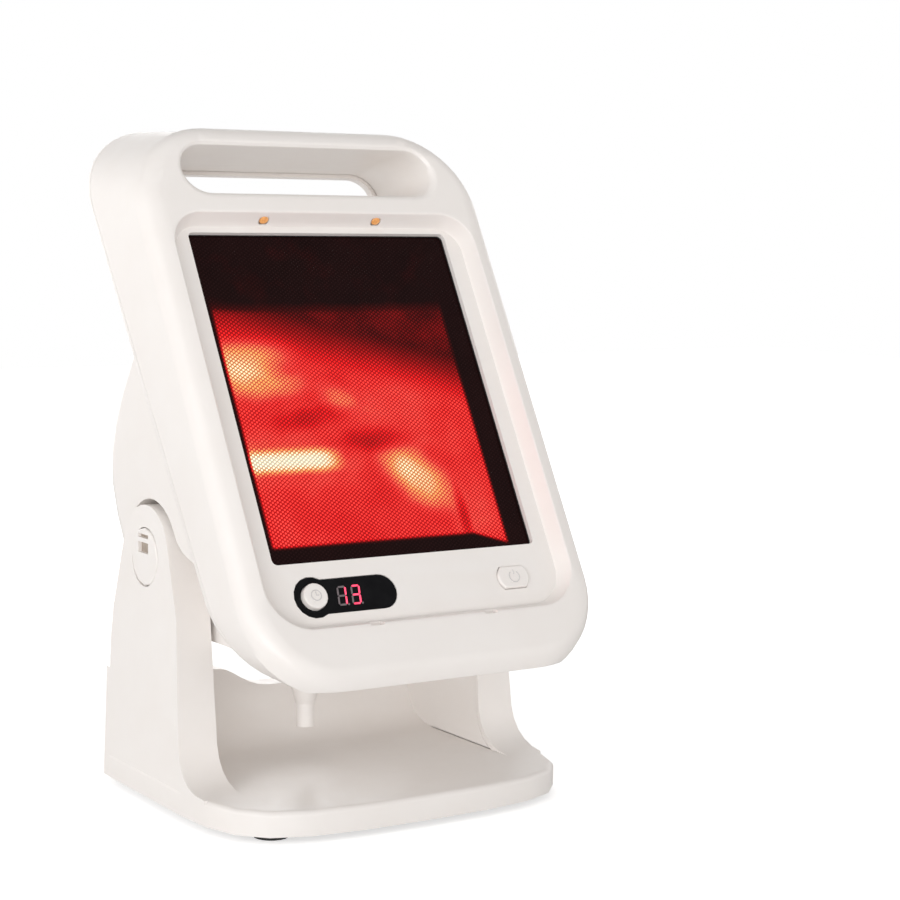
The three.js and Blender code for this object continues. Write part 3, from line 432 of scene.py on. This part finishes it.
def glass_with_painted_glow(name, share, boost):
    """Dark ceramic glass with the heater's glow painted on it as emission: it shows a share of that painted
    glow, and boost makes it look hotter.
    """
    smear_size = 20 * mm
    shader = Shader(name)
    panel = shader.node(
        "ShaderNodeMapping",
        {"Vector": shader.place, "Location": panel_origin, "Rotation": (-head_tilt, 0, 0)},
        vector_type="TEXTURE",
    ).outputs["Vector"]
    level = shader.math("MULTIPLY", glow_level(shader, panel), boost)
    heat = shader.ramp(level, heat_colours)
    passed = shader.node("ShaderNodeVectorMath", {0: heat, "Scale": share}, operation="SCALE")
    shader.set(Emission_Color=passed.outputs["Vector"])
    shader.surface.inputs["Emission Strength"].default_value = 1
    smears = shader.noise(smear_size, 4)
    shader.set(Base_Color=shader.two_tone(smears, (0.004, 0.002, 0.002), (0.008, 0.003, 0.003)))
    shader.set(Roughness=shader.between(smears, 0.16, 0.26))
    shader.surface.inputs["Specular IOR Level"].default_value = 0.05
    return shader.material


def lit(name, dark, light, strength, size):
    """A finish that glows a little unevenly: the lit digits' glow is their own light, while the unlit digits'
    and the amber lenses' glow is painted light.
    """
    shader = Shader(name)
    colour = shader.two_tone(shader.noise(size, 3), dark, light)
    shader.set(Base_Color=colour, Emission_Color=colour)
    shader.set(Roughness=shader.between(shader.noise(size, 2), 0.25, 0.4))
    shader.surface.inputs["Emission Strength"].default_value = strength
    return shader.material


materials = {
    "white_plastic": white_plastic(),
    "rubber": rubber(),
    "black_plastic": black_plastic(),
    "smoked_lens": smoked_lens(),
    # The heater's glow is painted on the glass as emission
    "ceramic_glass": glass_with_painted_glow("ceramic_glass", share=0.66, boost=0.98),
    # The dimples' painted glow is brighter, a painted highlight on each dot
    "glass_dimples": glass_with_painted_glow("glass_dimples", share=1.5, boost=1.14),
    "steel": metal("steel", (0.42, 0.42, 0.43), (0.6, 0.6, 0.61), 0.32, 1.5 * mm),
    "aluminium": metal("aluminium", (0.74, 0.74, 0.75), (0.88, 0.88, 0.89), 0.2, 2 * mm),
    "quartz": quartz(),
    "ceramic": matte("ceramic", (0.62, 0.6, 0.55), (0.74, 0.72, 0.68), 5 * mm, 0.6, 0.04 * mm),
    "fibre": matte("fibre", (0.3, 0.29, 0.27), (0.44, 0.42, 0.4), 3 * mm, 0.85, 0.1 * mm),
    "circuit_board": matte("circuit_board", (0.01, 0.09, 0.04), (0.02, 0.16, 0.07), 6 * mm, 0.4, 0.02 * mm),
    # Painted shade: the grey on the raised key signs stands for the shade along their relief
    "key_mark_painted_shade": matte("key_mark_painted_shade", (0.62, 0.6, 0.59), (0.7, 0.68, 0.67), 3 * mm, 0.5, 0.01 * mm),
    # Painted shade: the darker brown of the pivot caps' slot floors stands for the shade in those slots
    "slot_painted_shade": matte("slot_painted_shade", (0.36, 0.3, 0.25), (0.46, 0.39, 0.33), 3 * mm, 0.6, 0.02 * mm),
    "digit_lit": lit("digit_lit", (0.95, 0.045, 0.11), (1, 0.09, 0.18), 1, 2 * mm),
    # Unlit segments carry a faint painted glow
    "digit_unlit": lit("digit_unlit", (0.09, 0.075, 0.08), (0.13, 0.105, 0.11), 0.6, 2 * mm),
    # The amber vent lenses carry a painted glow
    "amber": lit("amber", (0.6, 0.25, 0.07), (0.8, 0.4, 0.14), 0.3, 1.5 * mm),
}

# Which CAD nodes take which finish, by the start of their names
node_finishes = [
    ("foot_", "rubber"),
    ("glass_seal", "rubber"),
    ("ceramic_glass", "ceramic_glass"),
    ("display_lens", "smoked_lens"),
    ("display_module", "black_plastic"),
    ("relay", "black_plastic"),
    ("timer_switch", "black_plastic"),
    ("power_switch", "black_plastic"),
    ("reflector_screw_", "steel"),
    ("reflector", "aluminium"),
    ("heat_shield", "steel"),
    ("thermal_cutout", "steel"),
    ("heater_tube", "quartz"),
    ("lamp_socket_", "ceramic"),
    ("friction_washer_", "fibre"),
    ("control_board", "circuit_board"),
    ("base_screw_", "steel"),
    ("head_screw_", "steel"),
    ("pivot_bolt_", "steel"),
    ("pivot_nut_", "steel"),
    ("", "white_plastic"),
]

# How far the moulded and cut edges of the CAD nodes are rounded, by the start of their names
edge_radii = [
    ("front_shell", 0.9 * mm),
    ("rear_shell", 0.9 * mm),
    ("stand_shell", 0.9 * mm),
    ("base_cover", 0.5 * mm),
    ("arm_cover", 0.12 * mm),
    ("pivot_cap", 0.15 * mm),
    ("cord_gland", 0.4 * mm),
    ("timer_button", 0.2 * mm),
    ("power_button", 0.2 * mm),
    ("", 0.1 * mm),
]
edge_steps = 2
sharp_angle = math.radians(32)
flat_angle = math.radians(0.3)
weld_distance = 0.003 * mm


def first_match(pairs, name):
    """The value of the first pair whose text the name starts with."""
    return next(value for start, value in pairs if name.startswith(start))


def dress(node, obj):
    """Gives a CAD node its finish, smooth shading and rounded edges, with its own vertices as they are."""
    mesh = obj.data
    mesh.materials.clear()
    mesh.materials.append(materials[first_match(node_finishes, node)])
    if "custom_normal" in mesh.attributes:
        mesh.attributes.remove(mesh.attributes["custom_normal"])
    mesh.polygons.foreach_set("use_smooth", [True] * len(mesh.polygons))
    weld = obj.modifiers.new("weld", "WELD")
    weld.merge_threshold = weld_distance
    flat = obj.modifiers.new("flat", "DECIMATE")
    flat.decimate_type = "DISSOLVE"
    flat.angle_limit = flat_angle
    edge = obj.modifiers.new("edge", "BEVEL")
    edge.width = first_match(edge_radii, node)
    edge.segments = edge_steps
    edge.limit_method = "ANGLE"
    edge.angle_limit = sharp_angle
    edge.use_clamp_overlap = True
    shade = obj.modifiers.new("shade", "WEIGHTED_NORMAL")
    shade.keep_sharp = True


def paint_slot_floor_shade(node, side):
    """The floors of a pivot cap's slots take a darker brown finish of their own, as painted shade in the
    sunken slots.
    """
    facing_out = 0.9
    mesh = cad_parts[node].data
    mesh.materials.append(materials["slot_painted_shade"])
    outside = max(side * v.co.x for v in mesh.vertices)
    for face in mesh.polygons:
        sunk = outside - side * face.center.x > slot_depth / 2
        if sunk and face.normal.x * side > facing_out:
            face.material_index = 1


for node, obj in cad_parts.items():
    dress(node, obj)
paint_slot_floor_shade("pivot_cap_left", -1)
paint_slot_floor_shade("pivot_cap_right", 1)


def piece(name, points, faces, finish, body, smooth=True):
    """A new piece, from points along the head's axes."""
    mesh = bpy.data.meshes.new(name)
    mesh.from_pydata([head_axes @ Vector(p) for p in points], [], faces)
    mesh.validate()
    mesh.polygons.foreach_set("use_smooth", [smooth] * len(mesh.polygons))
    mesh.materials.append(materials[finish])
    obj = bpy.data.objects.new(name, mesh)
    bpy.context.collection.objects.link(obj)
    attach(obj, body)


def dimple(across, front, up, points, faces):
    """One low dome on the glass, as a closed body."""
    start = len(points)
    inner = start + dimple_sides
    for share, rise_share in dimple_ring_shares:
        for side in range(dimple_sides):
            turn = 2 * math.pi * side / dimple_sides
            points.append(
                (
                    across + dimple_radius * share * math.cos(turn),
                    front - dimple_height * rise_share,
                    up + dimple_radius * share * math.sin(turn),
                )
            )
    points.append((across, front - dimple_height, up))
    top = len(points) - 1
    for side in range(dimple_sides):
        after = (side + 1) % dimple_sides
        faces.append((start + side, start + after, inner + after, inner + side))
        faces.append((inner + side, inner + after, top))
    faces.append([start + side for side in reversed(range(dimple_sides))])


def glass_dimples():
    """The raised dots over the whole window, columns staggered by half a step."""
    front = head_box("ceramic_glass")[0].y
    points = []
    faces = []
    columns = int((window_half_width - dimple_radius) / (dimple_across / 2))
    for column in range(-columns, columns + 1):
        across = column * dimple_across / 2
        up = dimple_rise * (1 if column % 2 else dimple_stagger_share)
        while up < window_height - dimple_radius:
            dimple(across, front, up, points, faces)
            up += dimple_rise
    piece("glass_dimples", points, faces, "glass_dimples", "head")


glass_dimples()


def vent_lens(name, side):
    """A shallow amber lens, seated in its vent along the wall's slope."""
    points = []
    faces = []
    for ring in range(vent_rings):
        spread = math.cos(math.pi / 2 * ring / vent_rings)
        rise = vent_crown * math.sin(math.pi / 2 * ring / vent_rings)
        for step in range(vent_sides):
            turn = 2 * math.pi * step / vent_sides
            along = vent_half_width * spread * math.sin(turn)
            points.append(
                (
                    side * vent_across + vent_half_length * spread * math.cos(turn),
                    vent_back - along * math.cos(vent_slope) - rise * math.sin(vent_slope),
                    vent_up + along * math.sin(vent_slope) - rise * math.cos(vent_slope),
                )
            )
    crown_back = vent_back - vent_crown * math.sin(vent_slope)
    crown_up = vent_up - vent_crown * math.cos(vent_slope)
    points.append((side * vent_across, crown_back, crown_up))
    top = len(points) - 1
    for step in range(vent_sides):
        after = (step + 1) % vent_sides
        for ring in range(vent_rings - 1):
            low = ring * vent_sides
            high = low + vent_sides
            faces.append((low + step, high + step, high + after, low + after))
        last = (vent_rings - 1) * vent_sides
        faces.append((last + step, top, last + after))
    faces.append(list(range(vent_sides)))
    piece(name, points, faces, "amber", "head")


vent_lens("vent_lens_left", -1)
vent_lens("vent_lens_right", 1)

# Where each of a digit's seven segments starts and ends, in half widths and in quarters of the height
segment_ends = {
    "a": ((-1, 2), (1, 2)),
    "b": ((1, 2), (1, 0)),
    "c": ((1, 0), (1, -2)),
    "d": ((-1, -2), (1, -2)),
    "e": ((-1, 0), (-1, -2)),
    "f": ((-1, 2), (-1, 0)),
    "g": ((-1, 0), (1, 0)),
}


def prism(outline, front, depth, points, faces):
    """A closed plate with the outline given as (across, up) points, from front to depth ahead of it."""
    start = len(points)
    count = len(outline)
    for back in (front, front - depth):
        points.extend((across, back, up) for across, up in outline)
    faces.append([start + i for i in range(count)])
    faces.append([start + count + i for i in reversed(range(count))])
    for i in range(count):
        after = (i + 1) % count
        faces.append((start + i, start + count + i, start + count + after, start + after))


def slanted(centre, across, up):
    """A place in a digit's cell, as (across, up) on the lens."""
    return centre + across + up * digit_slant, digit_middle + up


def segment_outline(centre, ends):
    """A bar with pointed ends, between two corners of a digit's cell."""
    half_width = (digit_width - digit_stroke) / 2
    quarter = (digit_height - digit_stroke) / 4
    first, last = [Vector((x * half_width, z * quarter)) for x, z in ends]
    along = (last - first).normalized()
    side = Vector((-along.y, along.x)) * digit_stroke / 2
    first += along * digit_gap
    last -= along * digit_gap
    inset = along * digit_stroke / 2
    upper = [first + inset + side, last - inset + side]
    lower = [last - inset - side, first + inset - side]
    return [slanted(centre, *corner) for corner in (first, *upper, last, *lower)]


def display_digits():
    """Two digits and their points: the lit segments and the unlit ones are a piece each."""
    front = head_box("display_lens")[0].y
    groups = {"digits_lit": ([], []), "digits_unlit": ([], [])}
    for centre, shown in zip(digit_centres, segments_shown):
        for letter, ends in segment_ends.items():
            group = groups["digits_lit" if letter in shown else "digits_unlit"]
            prism(segment_outline(centre, ends), front, digit_thickness, *group)
        dot = []
        for step in range(point_sides):
            turn = 2 * math.pi * step / point_sides
            dot.append(
                slanted(
                    centre,
                    digit_width / 2 + point_radius * (1 + math.cos(turn)),
                    -(digit_height - digit_stroke) / 2 + point_radius * math.sin(turn),
                )
            )
        prism(dot, front, digit_thickness, *groups["digits_unlit"])
    for name, (points, faces) in groups.items():
        piece(name, points, faces, name.replace("digits", "digit"), "head", smooth=False)


display_digits()


def bar_mark(path, front, points, faces, closed=False):
    """A raised line with sloped sides that follows path, a list of (across, up) points."""
    crest = mark_crest_share
    section = ((1, 0), (crest, mark_height), (-crest, mark_height), (-1, 0))
    corners = len(section)
    start = len(points)
    count = len(path)
    for i, here in enumerate(path):
        before = path[(i - 1) % count] if closed or i else here
        after = path[(i + 1) % count] if closed or i < count - 1 else here
        along = (after - before).normalized()
        side = Vector((-along.y, along.x)) * mark_width / 2
        for share, rise in section:
            spot = here + side * share
            points.append((spot.x, front - rise, spot.y))
    links = count if closed else count - 1
    for i in range(links):
        this = start + corners * i
        following = start + corners * ((i + 1) % count)
        for corner in range(corners):
            turned = (corner + 1) % corners
            faces.append((this + corner, this + turned, following + turned, following + corner))
    if not closed:
        faces.append([start + corner for corner in reversed(range(corners))])
        faces.append([start + corners * (count - 1) + corner for corner in range(corners)])


def arc(centre, radius, start, end, steps):
    """Points along an arc that runs from start to end, in degrees."""
    turns = [math.radians(start + (end - start) * i / steps) for i in range(steps + 1)]
    return [centre + Vector((math.cos(t), math.sin(t))) * radius for t in turns]


def key_mark(name, button, body, draw):
    """The raised sign in the middle of a key: draw adds its lines at the key's front."""
    low, high = head_box(button)
    centre = Vector(((low.x + high.x) / 2, (low.z + high.z) / 2))
    points = []
    faces = []
    draw(centre, low.y, points, faces)
    # The sign's grey finish is painted shade
    piece(name, points, faces, "key_mark_painted_shade", body, smooth=False)


def power_sign(centre, front, points, faces):
    """A circle open at the top, with an upright bar in its gap."""
    circle = arc(centre, power_mark_radius, power_arc_start, power_arc_end, power_arc_steps)
    bar_mark(circle, front, points, faces)
    bar = [centre + Vector((0, power_mark_radius * share)) for share in power_bar_shares]
    bar_mark(bar, front, points, faces)


def clock_sign(centre, front, points, faces):
    """A clock face at three o'clock."""
    circle = arc(centre, timer_mark_radius, 0, 360, timer_mark_steps)[:-1]
    bar_mark(circle, front, points, faces, closed=True)
    minute_tip = centre + Vector((0, timer_mark_radius * minute_hand_share))
    hour_tip = centre + Vector((timer_mark_radius * hour_hand_share, 0))
    bar_mark([minute_tip, centre, hour_tip], front, points, faces)


key_mark("power_mark", "power_button", "power_key", power_sign)
key_mark("timer_mark", "timer_button", "timer_key", clock_sign)

# Floor: its half width and grain, where its shadow starts and ends to fade, and its glow near and far
floor_half_width = 3
floor_grain = 0.08
shadow_reach = 0.55
shadow_end = 1
floor_glow_near = 0.28
floor_glow_far = 0.6

# Lamps: each one's place, what it aims at, its two sides and its power in watts
lamp_colour = (0.98, 0.99, 1)
lamps = {
    "key": ((-1.9, -0.35, 0.95), (0, 0, 0.15), (1.2, 1.2), 6),
    "front": ((-1.15, -1.4, 0.13), (0, 0, 0.08), (1.2, 0.24), 8),
    "back": ((0.3, 1.7, 0.4), (0, 0, 0.15), (1.4, 0.8), 7),
    "top": ((0.1, 0.1, 1.7), (0, 0, 0.1), (1.4, 1.4), 2),
}

# The room's strength level with the lamp and overhead, and how high up it has faded
room_colour = (1, 0.98, 0.965, 1)
room_at_eye_level = 1.3
room_overhead = 0.33
room_fade = 0.85
backdrop_colour = (1, 1, 1, 1)


def floor_material():
    """Pale floor that keeps the shadow close to the lamp, and is plain white further out."""
    shader = Shader("floor")
    nodes = shader.tree.nodes
    output = nodes["Material Output"]
    grain = shader.noise(floor_grain, 3)
    shader.set(Base_Color=shader.two_tone(grain, (0.84, 0.84, 0.84), (0.86, 0.86, 0.86)))
    shader.surface.inputs["Roughness"].default_value = 0.9
    shader.surface.inputs["Specular IOR Level"].default_value = 0
    reach = shader.node("ShaderNodeVectorMath", {0: shader.place}, operation="LENGTH").outputs["Value"]
    away = shader.between(reach, shadow_reach, shadow_end, floor_glow_near, floor_glow_far, "SMOOTHSTEP")
    seen = shader.node("ShaderNodeLightPath")
    rays = shader.math("MAXIMUM", seen.outputs["Is Camera Ray"], seen.outputs["Is Transmission Ray"])
    glow = shader.node("ShaderNodeEmission", {"Strength": shader.math("MULTIPLY", away, rays)})
    both = shader.node("ShaderNodeAddShader", {0: shader.surface.outputs[0], 1: glow.outputs[0]})
    shader.feed(output.inputs["Surface"], both.outputs[0])
    return shader.material


def stage_floor():
    """The floor, which isn't part of the lamp."""
    mesh = bpy.data.meshes.new("floor")
    far = floor_half_width
    mesh.from_pydata([(-far, -far, 0), (far, -far, 0), (far, far, 0), (-far, far, 0)], [], [(0, 1, 2, 3)])
    mesh.materials.append(floor_material())
    floor = bpy.data.objects.new("floor", mesh)
    bpy.context.collection.objects.link(floor)


def area_lamp(name, place, aim, size, power):
    data = bpy.data.lights.new(name, "AREA")
    data.shape = "RECTANGLE"
    data.size, data.size_y = size
    data.energy = power
    data.color = lamp_colour
    lamp = bpy.data.objects.new(name, data)
    lamp.location = place
    lamp.rotation_euler = (Vector(aim) - Vector(place)).to_track_quat("-Z", "Y").to_euler()
    bpy.context.collection.objects.link(lamp)


def studio_room():
    """A pale room, brightest at eye level, that the camera sees as plain white."""
    world = bpy.data.worlds.new("studio")
    world.use_nodes = True
    tree = world.node_tree
    room = tree.nodes["Background"]
    room.inputs["Color"].default_value = room_colour
    parts = tree.nodes.new("ShaderNodeSeparateXYZ")
    tree.links.new(tree.nodes.new("ShaderNodeTexCoord").outputs["Generated"], parts.inputs[0])
    level = tree.nodes.new("ShaderNodeMapRange")
    level.interpolation_type = "SMOOTHERSTEP"
    level.inputs["From Max"].default_value = room_fade
    level.inputs["To Min"].default_value = room_at_eye_level
    level.inputs["To Max"].default_value = room_overhead
    tree.links.new(parts.outputs["Z"], level.inputs["Value"])
    tree.links.new(level.outputs["Result"], room.inputs["Strength"])
    backdrop = tree.nodes.new("ShaderNodeBackground")
    backdrop.inputs["Color"].default_value = backdrop_colour
    rays = tree.nodes.new("ShaderNodeLightPath")
    seen = tree.nodes.new("ShaderNodeMath")
    seen.operation = "MAXIMUM"
    tree.links.new(rays.outputs["Is Camera Ray"], seen.inputs[0])
    tree.links.new(rays.outputs["Is Transmission Ray"], seen.inputs[1])
    mixed = tree.nodes.new("ShaderNodeMixShader")
    tree.links.new(seen.outputs[0], mixed.inputs["Fac"])
    tree.links.new(room.outputs[0], mixed.inputs[1])
    tree.links.new(backdrop.outputs[0], mixed.inputs[2])
    tree.links.new(mixed.outputs[0], tree.nodes["World Output"].inputs["Surface"])
    return world


def studio():
    """Soft boxes from the left, the front, behind and above, in a pale room."""
    for name, (place, aim, size, power) in lamps.items():
        area_lamp(name, place, aim, size, power)
    bpy.context.scene.world = studio_room()
    bpy.context.scene.view_settings.view_transform = "Standard"


def photo_camera():
    """The camera that took the photograph, as worked out from it."""
    right = Vector((math.cos(camera_yaw), math.sin(camera_yaw), 0))
    ahead = Vector(
        (
            -math.sin(camera_yaw) * math.cos(camera_pitch),
            math.cos(camera_yaw) * math.cos(camera_pitch),
            -math.sin(camera_pitch),
        )
    )
    up = right.cross(ahead)
    rolled_right = right * math.cos(camera_roll) + up * math.sin(camera_roll)
    rolled_up = up * math.cos(camera_roll) - right * math.sin(camera_roll)
    data = bpy.data.cameras.new("camera")
    data.lens = camera_lens
    data.sensor_width = camera_sensor
    data.shift_x, data.shift_y = camera_shift_share
    data.clip_start = camera_near
    camera = bpy.data.objects.new("camera", data)
    axes = Matrix((rolled_right, rolled_up, -ahead)).transposed().to_4x4()
    camera.matrix_world = Matrix.Translation(camera_place) @ axes
    bpy.context.collection.objects.link(camera)
    bpy.context.scene.camera = camera


stage_floor()
studio()
photo_camera()
